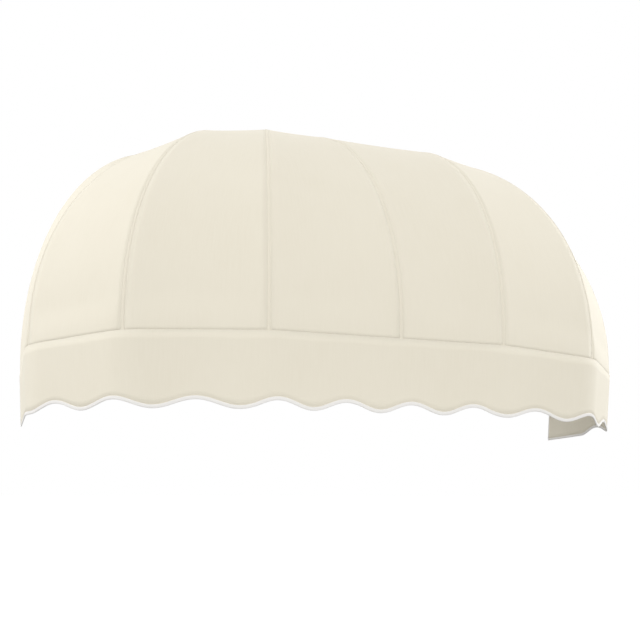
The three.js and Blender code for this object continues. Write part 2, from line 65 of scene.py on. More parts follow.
BAR_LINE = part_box("front_bar")[1].z
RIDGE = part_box("gore_4")[1].z
HALF_WIDTH = 1219.2 * MM
TUBE = BAR_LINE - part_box("front_bar")[0].z
RIB_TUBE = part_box("rib_middle")[1].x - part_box("rib_middle")[0].x
TUBE_WALL = 1.6 * MM
TUBE_CORNER = 1.8 * MM
BORE_CORNER = 0.6 * MM
STRAIGHT_HALF = 346 * MM
HUB_HALF = sum(corner.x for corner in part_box("hub_right")) / 2
COVER_BEND = 690 * MM
HOOP_BEND = 660 * MM
MIDDLE_SEAM_FOOT = 28 * MM
MIDDLE_SEAM_HEAD = -228 * MM
INSET = RIDGE - sum(corner.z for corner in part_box("head_rail")) / 2
HOOP_INSET = 26 * MM
DEPTH = 914.4 * MM
DOME_HEIGHT = RIDGE - BAR_LINE
END_REACH = HALF_WIDTH - STRAIGHT_HALF
RIB_ANGLES = (38, 64, 90)
BEND_RADIUS = 250 * MM
FLARE = 110 * MM
WALL_BAND = 26 * MM
BAND_FOLD = 0.008  # share of an end gore's width from its wall edge to the fold
WALL_CLEAR = 0.25 * MM
HUB_RADIUS = 64 * MM
HUB_GAP = 1.6 * MM
HOOP_GAP = 0.3 * MM
RIB_FOOT_RISE = 3.6 * MM
APEX_RADIUS = 4 * MM
BAR_LENGTHS = {name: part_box(name) for name in ("front_bow_left", "front_bar", "front_bow_right")}
VALANCE_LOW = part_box("valance_binding")[0].z
VALANCE_TOP = BAR_LINE + 3 * MM
WALL_GAP = 3 * MM
STAND_OFF = 0.9 * MM

PANEL_TAB = "Awning"


# ---------- sizes and colours a user would change ----------


class AwningClothSizes(bpy.types.PropertyGroup):
    """Sizes of the sewn cover and valance."""

    thickness: bpy.props.FloatProperty(
        name="Cloth", description="Thickness of the canvas", default=0.9 * MM, unit="LENGTH")
    sag: bpy.props.FloatProperty(
        name="Sag", description="How far a gore draws in between two ribs", default=2.5 * MM, unit="LENGTH")
    seam_width: bpy.props.FloatProperty(
        name="Seam", description="Width of the felled seam over each rib", default=8 * MM, unit="LENGTH")
    seam_height: bpy.props.FloatProperty(
        name="Seam height", description="How far a seam stands proud", default=0.4 * MM, unit="LENGTH")
    hem_width: bpy.props.FloatProperty(
        name="Wall hem", description="Width of the hem along the wall", default=26 * MM, unit="LENGTH")
    stitch: bpy.props.FloatProperty(
        name="Stitch", description="Length of one stitch", default=4.2 * MM, unit="LENGTH")
    stitch_pitch: bpy.props.FloatProperty(
        name="Stitch pitch", description="From one stitch to the next", default=5.6 * MM, unit="LENGTH")
    welt_height: bpy.props.FloatProperty(
        name="Welt", description="Height of the welt at the front bar", default=8 * MM, unit="LENGTH")
    scallop: bpy.props.FloatProperty(
        name="Scallop", description="Height of the scallops", default=25 * MM, unit="LENGTH")
    binding_width: bpy.props.FloatProperty(
        name="Binding", description="Width of the binding tape on each face", default=9 * MM, unit="LENGTH")


class AwningColours(bpy.types.PropertyGroup):
    """Colours of the awning's materials, as sRGB hex values."""

    canvas: bpy.props.StringProperty(name="Canvas", description="Ivory canvas", default="e7e1d1")
    canvas_slub: bpy.props.StringProperty(
        name="Slub", description="Thicker yarns in the canvas", default="e0d9c7")
    binding: bpy.props.StringProperty(name="Binding", description="White braid tape", default="eeece9")
    thread: bpy.props.StringProperty(name="Thread", description="Sewing thread", default="e8e2d2")
    aluminium: bpy.props.StringProperty(name="Aluminium", description="Mill finish tube", default="cdcfcf")
    zinc: bpy.props.StringProperty(name="Zinc", description="Zinc plated fittings", default="b9bec2")


class AwningStageSizes(bpy.types.PropertyGroup):
    """The floor, lights and camera."""

    floor_drop: bpy.props.FloatProperty(
        name="Floor", description="Floor below the front bar", default=2.1, unit="LENGTH")
    lens: bpy.props.FloatProperty(name="Lens", description="Focal length in millimetres", default=28.95)
    yaw: bpy.props.FloatProperty(
        name="Yaw", description="Camera turned to the right", default=0.199, unit="ROTATION")
    pitch: bpy.props.FloatProperty(
        name="Pitch", description="Camera turned up", default=-0.068, unit="ROTATION")
    roll: bpy.props.FloatProperty(
        name="Roll", description="Camera rolled anticlockwise", default=0.0118, unit="ROTATION")
    shift: bpy.props.FloatVectorProperty(
        name="Shift", description="Camera shift across and up", size=2, default=(0.0496, 0.2883))
    place: bpy.props.FloatVectorProperty(
        name="Camera", description="Camera from the middle of the wall at the front bar's height",
        size=3, default=(-0.566, -2.2915, -0.3647), subtype="TRANSLATION")


# ---------- mesh helpers ----------


def mesh_object(name, points, faces, material, sharp=math.radians(32)):
    """A smooth shaded object with edges sharper than the given angle kept crisp."""
    mesh = bpy.data.meshes.new(name)
    mesh.from_pydata([tuple(p) for p in points], [], faces)
    mesh.validate()
    mesh.polygons.foreach_set("use_smooth", [True] * len(mesh.polygons))
    mesh.set_sharp_from_angle(angle=sharp)
    mesh.materials.append(material)
    obj = bpy.data.objects.new(name, mesh)
    bpy.context.collection.objects.link(obj)
    return obj


def loft(name, rings, material, sharp):
    """A closed body through equal rings of points."""
    count = len(rings[0])
    points = [p for ring in rings for p in ring]
    faces = []
    for i in range(len(rings) - 1):
        for j in range(count):
            k = (j + 1) % count
            faces.append((i * count + j, (i + 1) * count + j, (i + 1) * count + k, i * count + k))
    last = (len(rings) - 1) * count
    faces.append(tuple(range(count)))
    faces.append(tuple(last + j for j in reversed(range(count))))
    obj = mesh_object(name, points, faces, material, sharp)
    face_outwards(obj)
    return obj


def face_outwards(obj, weld=False):
    """Turns every face outwards, after joining points that share a place if weld is set."""
    work = bmesh.new()
    work.from_mesh(obj.data)
    if weld:
        bmesh.ops.remove_doubles(work, verts=work.verts, dist=WELD)
    bmesh.ops.recalc_face_normals(work, faces=work.faces)
    work.to_mesh(obj.data)
    work.free()


def finish_piece(obj, slot, *nodes):
    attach(obj, BODY)
    if nodes:
        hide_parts(*nodes)
    return obj


def blend_in(low, high, x):
    """0 below low, 1 above high, smooth between."""
    t = min(max((x - low) / (high - low), 0.0), 1.0)
    return t * t * (3 - 2 * t)


# ---------- plan line of the front bar ----------


class PlanLine:
    """Straight runs and arcs in plan, from the left wall end round the front to the right wall end."""

    def __init__(self, feet, radius):
        def side(a, b):
            return (b - a).normalized()

        def outward(direction):
            return Vector((direction.y, -direction.x))

        def turn_at(line, n):
            if n in (0, len(line) - 1):
                return 0.0
            return side(line[n - 1], line[n]).angle(side(line[n], line[n + 1]))

        line = []
        for n, foot in enumerate(feet):
            turn = turn_at(feet, n)
            if turn:
                out = (outward(side(feet[n - 1], foot)) + outward(side(foot, feet[n + 1]))).normalized()
                foot = foot + out * radius * (1 / math.cos(turn / 2) - 1)
            line.append(foot)
        turns = [turn_at(line, n) for n in range(len(line))]
        self.pieces, self.foot_at, self.length = [], [0.0], 0.0
        for n in range(len(line) - 1):
            direction = side(line[n], line[n + 1])
            normal = outward(direction)
            begin = line[n] + direction * radius * math.tan(turns[n] / 2)
            end = line[n + 1] - direction * radius * math.tan(turns[n + 1] / 2)
            self.pieces.append((self.length, begin, direction, normal, None))
            self.length += (end - begin).length
            if turns[n + 1]:
                self.pieces.append((self.length, end - normal * radius, direction, normal, radius))
                sweep = turns[n + 1] * radius
                self.foot_at.append(self.length + sweep / 2)
                self.length += sweep
        self.foot_at.append(self.length)
        self.starts = [piece[0] for piece in self.pieces]

    def at(self, distance, offset=0.0):
        """The point and outward normal at a distance along the line, moved outwards by offset."""
        n = max(bisect.bisect_right(self.starts, distance) - 1, 0)
        start, origin, direction, normal, radius = self.pieces[n]
        along = distance - start
        if radius is None:
            return origin + direction * along + normal * offset, normal
        turned = normal.copy()
        turned.rotate(Matrix.Rotation(along / radius, 2))
        return origin + turned * (radius + offset), turned

    def point(self, distance, offset, z):
        place, _ = self.at(distance, offset)
        return Vector((place.x, place.y, z))


END_FEET = [
    Vector((STRAIGHT_HALF + END_REACH * math.cos(math.radians(a)), -DEPTH * math.sin(math.radians(a))))
    for a in (0, *RIB_ANGLES)
]
LEFT_FEET = [Vector((-foot.x, foot.y)) for foot in END_FEET]
PLAN = PlanLine(LEFT_FEET + END_FEET[::-1], BEND_RADIUS)
PLAN_MIDDLE = PLAN.length / 2
MIDDLE_FOOT = PLAN.at(PLAN_MIDDLE)[0]

SEAM_FOOT_AT = PLAN_MIDDLE + MIDDLE_SEAM_FOOT
GORE_FEET = LEFT_FEET + [PLAN.at(SEAM_FOOT_AT)[0]] + END_FEET[::-1]
GORE_FOOT_AT = PLAN.foot_at[:4] + [SEAM_FOOT_AT] + PLAN.foot_at[4:]
END_HUBS = (COVER_BEND, HUB_HALF, HUB_HALF, HUB_HALF)
GORE_HUBS = [Vector((x, 0)) for x in (*[-x for x in END_HUBS], MIDDLE_SEAM_HEAD, *END_HUBS[::-1])]


# ---------- the cover's surface ----------


def cover_point(gore, across, angle, band=1.0):
    """A point of the cover: gore number, 0 to 1 across it, and 0 at the bar to 90 degrees at the ridge.

    band goes from 1, out over the wall tubes, to 0, back at the wall.
    """
    cloth = bpy.context.scene.awning_cloth
    (foot_a, foot_b), (hub_a, hub_b) = GORE_FEET[gore:gore + 2], GORE_HUBS[gore:gore + 2]
    out, rise = math.cos(angle), DOME_HEIGHT * math.sin(angle)
    hub = hub_a.lerp(hub_b, across)
    flat = hub + (foot_a.lerp(foot_b, across) - hub) * out
    chord = (foot_b - foot_a).normalized()
    normal = Vector((chord.y, -chord.x))
    distance = GORE_FOOT_AT[gore] + (GORE_FOOT_AT[gore + 1] - GORE_FOOT_AT[gore]) * across
    rounded = hub + (PLAN.at(distance)[0] - hub) * out
    spread = 1 - blend_in(0, FLARE, rise)
    width = min(gore_width(gore, angle) / FULL_SAG_WIDTH, 1.0)
    tension = cloth.sag * width * 4 * across * (1 - across) * (1 - spread)
    point = (flat - normal * tension * out).lerp(rounded, spread)
    y = point.y - WALL_BAND * (1 - out) * band
    return Vector((point.x, min(y, -WALL_CLEAR), BAR_LINE + rise - tension * math.sin(angle)))


def gore_width(gore, angle):
    (foot_a, foot_b), (hub_a, hub_b) = GORE_FEET[gore:gore + 2], GORE_HUBS[gore:gore + 2]
    out = math.cos(angle)
    return ((hub_b + (foot_b - hub_b) * out) - (hub_a + (foot_a - hub_a) * out)).length


def cover_normal(gore, across, angle):
    step = 1e-3
    low, high = max(angle - step, 0), angle + step
    left, right = max(across - step, 0), min(across + step, 1)
    up = cover_point(gore, across, high) - cover_point(gore, across, low)
    along = cover_point(gore, right, angle) - cover_point(gore, left, angle)
    return along.cross(up).normalized()


FOLD_STEPS = 5
ROW_CROWDING = 1.06
TOP_ANGLE = math.acos(2 * APEX_RADIUS / DEPTH)
APEX_ANGLE = math.acos(APEX_RADIUS / DEPTH)
FULL_SAG_WIDTH = 300 * MM


def fold_steps():
    """Over the wall tubes: how far each step is from the fold, and how far it stands out from the wall."""
    for k in range(1, FOLD_STEPS + 1):
        turn = math.pi / 2 * k / FOLD_STEPS
        yield math.sin(turn), (1 - k / FOLD_STEPS) if k > 1 else 0.97


def build_gore(gore, material):
    """One gore: a thin sheet between two seams, folded back to the wall over the wall tubes."""
    rows, columns = 84, 16
    heights = [(TOP_ANGLE * (i / rows) ** ROW_CROWDING, 1.0) for i in range(rows + 1)]
    heights += [(TOP_ANGLE + (APEX_ANGLE - TOP_ANGLE) * part, band) for part, band in fold_steps()]
    shares = [(j / columns, 1.0) for j in range(columns + 1)]
    fold = [(BAND_FOLD * (1 - part), band) for part, band in fold_steps()]
    if gore == 0:
        shares = fold[::-1] + [(BAND_FOLD, 1.0)] + shares[1:]
    if gore == len(GORES) - 1:
        shares = shares[:-1] + [(1 - BAND_FOLD, 1.0)] + [(1 - share, band) for share, band in fold]
    grid = [
        [cover_point(gore, share, angle, min(up, side)) for share, side in shares]
        for angle, up in heights
    ]
    across = len(shares)
    lengths = [[0.0] * across]
    for low, high in zip(grid, grid[1:]):
        lengths.append([length + (b - a).length for length, a, b in zip(lengths[-1], low, high)])
    places = []
    middle = across // 2
    for row, length in zip(grid, lengths):
        run = [0.0]
        for a, b in zip(row, row[1:]):
            run.append(run[-1] + (b - a).length)
        places.append([(x - run[middle] + gore, y) for x, y in zip(run, length)])
    faces = [
        (i * across + j, i * across + j + 1, (i + 1) * across + j + 1, (i + 1) * across + j)
        for i in range(len(grid) - 1) for j in range(across - 1)
    ]
    obj = mesh_object(f"gore_{gore + 1}_cloth", [p for row in grid for p in row], faces, material)
    lay_out(obj, [place for row in places for place in row])
    return obj


def lay_out(obj, places):
    """Gives a sheet its flat layout in metres, one place per vertex, for its weave."""
    layer = obj.data.uv_layers.new(name="cloth")
    for loop in obj.data.loops:
        layer.data[loop.index].uv = places[loop.vertex_index]


def thicken(obj, thickness, offset=-1.0):
    bpy.context.view_layer.objects.active = obj
    solid = obj.modifiers.new("cloth", "SOLIDIFY")
    solid.thickness = thickness
    solid.offset = offset
    solid.use_even_offset = True
    bpy.ops.object.modifier_apply(modifier=solid.name)


# ---------- stitches ----------


def stitch_rows(name, rows, material):
    """Rows of sewn stitches, each row a dense list of (point, normal) that the thread follows."""
    cloth = bpy.context.scene.awning_cloth
    half_width, height, depth = 0.4 * MM, 0.25 * MM, 0.2 * MM
    points, faces = [], []
    for row in rows:
        lengths = [0.0]
        for (a, _), (b, _) in zip(row, row[1:]):
            lengths.append(lengths[-1] + (b - a).length)

        def at(distance):
            n = min(bisect.bisect_right(lengths, distance) - 1, len(row) - 2)
            part = (distance - lengths[n]) / max(lengths[n + 1] - lengths[n], 1e-9)
            return row[n][0].lerp(row[n + 1][0], part), row[n][1]

        count = int(lengths[-1] / cloth.stitch_pitch)
        for s in range(count):
            start, normal = at(s * cloth.stitch_pitch)
            end, _ = at(s * cloth.stitch_pitch + cloth.stitch)
            side = (end - start).cross(normal).normalized() * half_width
            middle = (start + end) / 2
            base = len(points)
            sunk = normal * depth
            points += [start - sunk, middle + side, middle + normal * height, middle - side, end - sunk]
            for low, high in ((1, 2), (2, 3), (3, 1)):
                faces += [(base, base + low, base + high), (base + 4, base + high, base + low)]
    return mesh_object(name, points, faces, material, sharp=math.radians(70))


def seam_row(seam, distance, samples=260):
    """A row along one seam, at a distance to its right, or to its left if negative."""
    cloth = bpy.context.scene.awning_cloth
    gore = seam if distance > 0 else seam - 1
    row = []
    for i in range(samples + 1):
        angle = 0.01 + (TOP_ANGLE - 0.05) * i / samples
        part = min(abs(distance) / gore_width(gore, angle), 0.25)
        across = part if distance > 0 else 1 - part
        normal = cover_normal(gore, across, angle)
        row.append((cover_point(gore, across, angle) + normal * cloth.seam_height, normal))
    return row


def build_seam(seam, material):
    """The felled seam over one rib: a folded strip of the two gores that stands a little proud."""
    cloth = bpy.context.scene.awning_cloth
    half = cloth.seam_width / 2
    rings = []
    steps = 120
    for i in range(steps + 1):
        angle = (TOP_ANGLE - 0.01) * i / steps
        ring = []
        normals = [cover_normal(seam - 1, 1, angle), cover_normal(seam, 0, angle)]
        crest = (normals[0] + normals[1]).normalized()

        def on_cover(distance, height):
            if distance == 0:
                return cover_point(seam, 0, angle) + crest * height
            gore = seam if distance > 0 else seam - 1
            part = min(abs(distance) / gore_width(gore, angle), 0.3)
            across = part if distance > 0 else 1 - part
            return cover_point(gore, across, angle) + normals[distance > 0] * height

        top, rounded, under = cloth.seam_height, cloth.seam_height * 0.55, -0.2 * MM
        for distance, height in (
            (-half, under), (-half * 0.9, rounded), (-half * 0.5, top), (0, top * 1.15), (half * 0.5, top),
            (half * 0.9, rounded), (half, under), (0, under),
        ):
            ring.append(on_cover(distance, height))
        rings.append(ring)
    return loft(f"seam_{seam}", rings, material, sharp=math.radians(50))


def edge_point(hand, angle, distance):
    """A point at a distance from the wall on one end's edge, and its normal."""
    gore, wall_share = (0, 0) if hand < 0 else (len(GORES) - 1, 1)
    band = WALL_BAND * (1 - math.cos(angle))
    if distance < band:
        edge = cover_point(gore, wall_share, angle, 0.0)
        reach = HALF_WIDTH - COVER_BEND
        normal = Vector((hand * math.cos(angle) / reach, 0, math.sin(angle) / DOME_HEIGHT)).normalized()
        return Vector((edge.x, -distance, edge.z)), normal
    share = BAND_FOLD + (distance - band) / gore_width(gore, angle)
    share = 1 - share if hand > 0 else share
    return cover_point(gore, share, angle), cover_normal(gore, share, angle)


def edge_row(distance, inwards, samples=220):
    """A row along the cover's wall edge, from the left foot over the ridge to the right foot."""
    angles = [0.012 + (math.pi / 2 - 0.012) * i / samples for i in range(samples + 1)]
    row = [edge_point(-1, angle, distance) for angle in angles]
    for i in range(1, 60):
        row.append((Vector((COVER_BEND * (i / 30 - 1), -distance, RIDGE)), Vector((0, 0, 1))))
    row += [edge_point(1, angle, distance) for angle in reversed(angles)]
    return [(point + normal * inwards, normal) for point, normal in row]


def build_wall_hem(material):
    """The turned hem inside the cover's wall edge."""
    cloth = bpy.context.scene.awning_cloth
    inside = -cloth.thickness - 0.3 * MM
    rows = [edge_row(1 * MM + cloth.hem_width * k / 4, inside) for k in range(5)]
    points = [p for row in rows for p, _ in row]
    count = len(rows[0])
    faces = [
        (k * count + i, k * count + i + 1, (k + 1) * count + i + 1, (k + 1) * count + i)
        for k in range(4) for i in range(count - 1)
    ]
    hem = mesh_object("wall_hem", points, faces, material)
    thicken(hem, cloth.thickness, offset=0.0)
    face_outwards(hem)
    return hem


# ---------- the valance ----------

SCALLOP_SHIFT = -30 * MM
SCALLOP_FRONT = 192 * MM
SCALLOP_PITCH = {-1: 236 * MM, 1: 252 * MM}
SCALLOP_COUNT = {-1: 5, 1: 6}
TAPE_BELOW = 1.4 * MM
TAPE_TOP = BAR_LINE - 1 * MM
TAPE_THICKNESS = 0.8 * MM
TAPE_SLACK = 0.25 * MM
END_CORNER = 9 * MM
EDGE_STEPS = 560


def scallop_lift(from_middle):
    """Height of the lower edge above its lowest level."""
    cloth = bpy.context.scene.awning_cloth
    s = from_middle - SCALLOP_SHIFT
    hand = -1 if s < 0 else 1
    in_front = min(abs(s), STRAIGHT_HALF)
    turns = in_front / SCALLOP_FRONT + (abs(s) - in_front) / SCALLOP_PITCH[hand]
    if turns > SCALLOP_COUNT[hand]:
        return 0.0
    return cloth.scallop * (1 - math.cos(2 * math.pi * turns)) / 2


def valance_edge():
    """Points of the lower edge as (distance along the plan line, height)."""
    low = VALANCE_LOW + TAPE_BELOW
    length = PLAN.length - 2 * WALL_GAP
    distances = [WALL_GAP + length * i / EDGE_STEPS for i in range(EDGE_STEPS + 1)]
    return [Vector((d, low + scallop_lift(d - PLAN_MIDDLE))) for d in distances]


def build_valance(material):
    edge = valance_edge()
    rows = 8
    points, faces = [], []
    for i in range(rows + 1):
        for corner in edge:
            z = VALANCE_TOP + (corner.y - VALANCE_TOP) * i / rows
            points.append(PLAN.point(corner.x, STAND_OFF, z))
    across = len(edge)
    for i in range(rows):
        for j in range(across - 1):
            a = i * across + j
            faces.append((a, a + across, a + across + 1, a + 1))
    obj = mesh_object("valance_cloth", points, faces, material, sharp=math.radians(40))
    lay_out(obj, [(edge[n % across].x, point.z) for n, point in enumerate(points)])
    return obj


def build_welt(material):
    """The low welt that joins cover and valance along the front bar."""
    cloth = bpy.context.scene.awning_cloth
    half, proud = cloth.welt_height / 2, 0.5 * MM
    turns = [math.pi * (k / 8 - 0.5) for k in range(9)]
    section = [(STAND_OFF + proud * math.cos(turn), BAR_LINE + half * math.sin(turn)) for turn in turns]
    steps = 400
    rings = []
    for i in range(steps + 1):
        distance = WALL_GAP + (PLAN.length - 2 * WALL_GAP) * i / steps
        rings.append([PLAN.point(distance, offset, z) for offset, z in section])
    return loft("bar_welt", rings, material, sharp=math.radians(60))


def bound_edge():
    """The whole bound edge: down the left end, round a corner, along the scallops, and up the right end."""
    edge = valance_edge()
    radius = END_CORNER
    kept = [e for e in edge if edge[0].x + radius < e.x < edge[-1].x - radius]

    def corner(x, inward, angles):
        centre = Vector((x + inward * radius, edge[0].y + radius))
        return [centre + Vector((math.cos(a), math.sin(a))) * radius for a in angles]

    quarter = [math.pi / 2 * k / 6 for k in range(7)]
    left = corner(edge[0].x, 1, [math.pi + a for a in quarter])
    right = corner(edge[-1].x, -1, [1.5 * math.pi + a for a in quarter])
    foot = edge[0].y + radius
    rise = [foot + (TAPE_TOP - foot) * k / 20 for k in range(20, 0, -1)]
    return (
        [Vector((edge[0].x, z)) for z in rise]
        + left + kept + right
        + [Vector((edge[-1].x, z)) for z in reversed(rise)]
    )


def into_cloth(path, n):
    def perpendicular(a, b):
        return Vector((-(b.y - a.y), b.x - a.x)).normalized()

    before = perpendicular(path[max(n - 1, 0)], path[max(n, 1)])
    after = perpendicular(path[min(n, len(path) - 2)], path[min(n + 1, len(path) - 1)])
    mitre = (before + after).normalized()
    return mitre / max(mitre.dot(after), 0.5)


def build_binding(material):
    """White tape folded round the bound edge."""
    cloth = bpy.context.scene.awning_cloth
    tape = TAPE_THICKNESS
    back, face = STAND_OFF - TAPE_SLACK, STAND_OFF + cloth.thickness + TAPE_SLACK
    path = bound_edge()
    rings = []
    for n, place in enumerate(path):
        inward = into_cloth(path, n)

        def at(depth, offset):
            moved = place + inward * depth
            return PLAN.point(moved.x, offset, moved.y)

        lip = cloth.binding_width
        rings.append([
            at(lip, face), at(lip - 0.3 * MM, face + tape * 0.8), at(lip - 1.2 * MM, face + tape),
            at(0.2 * MM, face + tape), at(-0.7 * MM, face + tape * 0.4), at(-1.0 * MM, (face + back) / 2),
            at(-0.7 * MM, back - tape * 0.4), at(0.2 * MM, back - tape),
            at(lip - 1.2 * MM, back - tape), at(lip - 0.3 * MM, back - tape * 0.8), at(lip, back),
        ])
    return loft("valance_binding_tape", rings, material, sharp=math.radians(50))


def binding_stitches():
    """One row on each face of the tape, near its inner lip."""
    cloth = bpy.context.scene.awning_cloth
    path = bound_edge()
    rows = []
    proud = TAPE_SLACK + TAPE_THICKNESS
    for side, offset in ((1, STAND_OFF + cloth.thickness + proud), (-1, STAND_OFF - proud)):
        row = []
        for n, place in enumerate(path):
            moved = place + into_cloth(path, n) * (cloth.binding_width - 2.2 * MM)
            _, normal = PLAN.at(moved.x)
            row.append((PLAN.point(moved.x, offset, moved.y), Vector((normal.x, normal.y, 0)) * side))
        rows.append(row)
    return rows


def valance_stitches():
    """Two rows below the welt."""
    cloth = bpy.context.scene.awning_cloth
    rows = []
    for drop in (7.5 * MM, 16 * MM):
        row = []
        for i in range(601):
            distance = WALL_GAP + (PLAN.length - 2 * WALL_GAP) * i / 600
            _, normal = PLAN.at(distance)
            point = PLAN.point(distance, STAND_OFF + cloth.thickness, BAR_LINE - drop)
            row.append((point, Vector((normal.x, normal.y, 0))))
        rows.append(row)
    return rows


# ---------- frame tubes ----------


def rounded_square(side, radius, steps=3):
    """Corners of a square section with rounded edges, anticlockwise."""
    points = []
    for quarter in range(4):
        for k in range(steps + 1):
            angle = math.pi / 2 * (quarter + k / steps)
            middle = side / 2 - radius
            centre = Vector((math.copysign(middle, math.cos(math.pi / 2 * (quarter + 0.5))),
                             math.copysign(middle, math.sin(math.pi / 2 * (quarter + 0.5)))))
            points.append(centre + Vector((math.cos(angle), math.sin(angle))) * radius)
    return points


def build_tube(name, path, across, side, material):
    """An open ended square tube swept along a flat path; across is the path plane's normal at every point."""
    outer = rounded_square(side, TUBE_CORNER)
    inner = rounded_square(side - 2 * TUBE_WALL, BORE_CORNER)
    count, last = len(outer), len(path) - 1
    points, faces = [], []
    for i, place in enumerate(path):
        tangent = (path[min(i + 1, last)] - path[max(i - 1, 0)]).normalized()
        up = across.cross(tangent).normalized()
        points += [place + across * c.x + up * c.y for c in outer]
        points += [place + across * c.x + up * c.y for c in inner]
    for i in range(last):
        for j in range(count):
            k = (j + 1) % count
            a, b = 2 * count * i, 2 * count * (i + 1)
            faces.append((a + j, a + k, b + k, b + j))
            faces.append((a + count + j, b + count + j, b + count + k, a + count + k))
    for i in (0, last):
        a = 2 * count * i
        for j in range(count):
            k = (j + 1) % count
            faces.append((a + j, a + count + j, a + count + k, a + k))
    obj = mesh_object(name, points, faces, material, sharp=math.radians(40))
    face_outwards(obj)
    return obj


def rib_path(hub, direction, reach, start, foot_z, back=0.0, steps=56):
    """Points down one rib from near its hub to its foot, with the rib plane's normal."""
    rise = DOME_HEIGHT - INSET
    top, low = math.acos(start / reach), math.asin(foot_z / rise)
    out = Vector((math.cos(direction), math.sin(direction), 0))
    across = Vector((-out.y, out.x, 0))
    origin = Vector((hub, back, BAR_LINE))
    angles = [top + (low - top) * i / steps for i in range(steps + 1)]
    return [origin + out * reach * math.cos(a) + Vector((0, 0, rise * math.sin(a))) for a in angles], across


def build_frame_tubes(material):
    rib_start = HUB_RADIUS + HUB_GAP
    reach = HALF_WIDTH - HOOP_BEND - HOOP_INSET
    for side, hand in SIDES.items():
        for n, foot in enumerate(END_FEET[1:], 1):
            out = Vector((foot.x - HUB_HALF, foot.y))
            direction = math.atan2(out.y, hand * out.x)
            path, across = rib_path(hand * HUB_HALF, direction, out.length - INSET, rib_start, RIB_FOOT_RISE)
            node = f"rib_{side}_{n}"
            finish_piece(build_tube(f"{node}_tube", path, across, RIB_TUBE, material), "frame_tube", node)
        direction = 0 if hand > 0 else math.pi
        path, across = rib_path(hand * HOOP_BEND, direction, reach, 0, HOOP_GAP, back=-TUBE / 2)
        path.insert(0, Vector((hand * (HUB_HALF + HUB_RADIUS + HOOP_GAP), -TUBE / 2, path[0].z)))
        node = f"wall_hoop_{side}"
        finish_piece(build_tube(f"{node}_tube", path, across, TUBE, material), "frame_tube", node)
    middle_start = -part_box("rib_middle")[1].y
    path, across = rib_path(0, -math.pi / 2, -MIDDLE_FOOT.y - INSET, middle_start, RIB_FOOT_RISE)
    finish_piece(build_tube("rib_middle_tube", path, across, RIB_TUBE, material), "frame_tube", "rib_middle")

    rail_low, rail_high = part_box("head_rail")
    centre = (rail_low + rail_high) / 2
    ends = [Vector((x, centre.y, centre.z)) for x in (rail_low.x, rail_high.x)]
    rail = build_tube("head_rail_tube", ends, Vector((0, 0, 1)), TUBE, material)
    finish_piece(rail, "frame_tube", "head_rail")

    bar_z = BAR_LINE - TUBE / 2
    for node, (low, high) in BAR_LENGTHS.items():
        if node == "front_bar":
            ends = (PLAN_MIDDLE + low.x, PLAN_MIDDLE + high.x)
        elif node.endswith("left"):
            ends = (wall_cut(high.y), PLAN_MIDDLE + high.x)
        else:
            ends = (PLAN_MIDDLE + low.x, PLAN.length - wall_cut(high.y))
        steps = 90
        distances = [ends[0] + (ends[1] - ends[0]) * i / steps for i in range(steps + 1)]
        path = [PLAN.point(d, -INSET, bar_z) for d in distances]
        bar = build_tube(f"{node}_tube", path, Vector((0, 0, 1)), TUBE, material)
        finish_piece(bar, "frame_tube", node)


def wall_cut(y):
    """How far along the plan line the bar's whole end is clear of the wall plates, at y."""
    _, normal = PLAN.at(0)
    start, _ = PLAN.at(0, -INSET)
    along = Vector((-normal.y, normal.x))
    furthest = start.y + TUBE / 2 * abs(normal.y)
    return (furthest - y) / abs(along.y)


# ---------- fittings ----------

EASED = (
    [f"{name}_{s}" for name in ("hub", "rail_strap", "hoop_tab", "foot_plate", "splice") for s in SIDES]
    + ["middle_cleat", "foot_plug_middle"]
    + [f"foot_plug_{s}_{n}" for s in SIDES for n in (1, 2, 3)]
)
SCREWS = [f"splice_screw_{s}_{n}" for s in SIDES for n in (1, 2)]
EDGE_EASE = 0.35 * MM

# a pan head in section: share of the head's radius, and height from its seat in millimetres
PAN_HEAD = [
    (0, -1.3), (0.5, -1.3), (0.62, -2.25), (0.8, -2.0), (0.94, -1.4), (1.0, -0.6), (0.97, 0), (0.42, 0),
]
PAN_HEAD_RISE = 2.6 * MM
SHANK_SHARE = 0.42


def build_fitting(node, material):
    """A fitting with its sheared or cast edges eased."""
    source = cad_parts[node]
    mesh = source.data.copy()
    mesh.materials.clear()
    mesh.materials.append(material)
    obj = bpy.data.objects.new(f"{node}_fitting", mesh)
    bpy.context.collection.objects.link(obj)
    work = bmesh.new()
    work.from_mesh(mesh)
    bmesh.ops.remove_doubles(work, verts=work.verts, dist=WELD)
    bmesh.ops.dissolve_limit(work, angle_limit=math.radians(1), verts=work.verts, edges=work.edges)
    edges = [e for e in work.edges if len(e.link_faces) == 2 and e.calc_face_angle() > math.radians(40)]
    bmesh.ops.bevel(work, geom=edges, offset=EDGE_EASE, segments=2, affect="EDGES", clamp_overlap=True)
    work.to_mesh(mesh)
    work.free()
    mesh.polygons.foreach_set("use_smooth", [True] * len(mesh.polygons))
    mesh.set_sharp_from_angle(angle=math.radians(35))
    return obj


